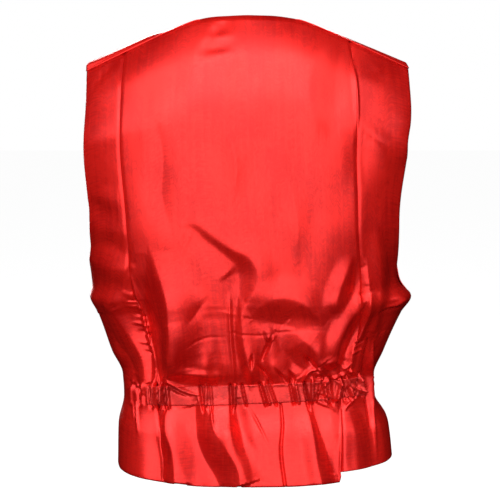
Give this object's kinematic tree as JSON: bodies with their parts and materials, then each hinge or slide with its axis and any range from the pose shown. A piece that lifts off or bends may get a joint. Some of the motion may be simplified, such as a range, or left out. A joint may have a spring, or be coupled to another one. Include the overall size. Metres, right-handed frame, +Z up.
{
  "type": "vest",
  "caption": "Red satin waistcoat-style vest, sleeveless and V-necked, with a panelled back drawn in by a gathered waist casing above a short flared skirt, and plain buttoned fronts",
  "frame": {"origin": "between the shoulders, where the wearer bears the vest, level with the middle of the shoulder slope and in the plane of the side seams", "axes": "+Z up along the body, +X to the wearer's left, +Y out of the wearer's back, so the front faces -Y"},
  "size_m": [0.4047, 0.2381, 0.567],
  "materials": {
    "satin": "lustrous red satin with a fine weave and soft creases",
    "casing": "the same satin turned crosswise, duller, gathered on elastic",
    "button": "dark red, softly polished"
  },
  "bodies": {
    "root": {"back_centre": "satin", "back_side_left": "satin", "back_side_right": "satin", "waist_casing": "casing", "front_left": "satin", "front_right": "satin", "button_1": "button", "button_2": "button", "button_3": "button", "button_4": "button", "button_5": "button"}
  },
  "joints": []
}
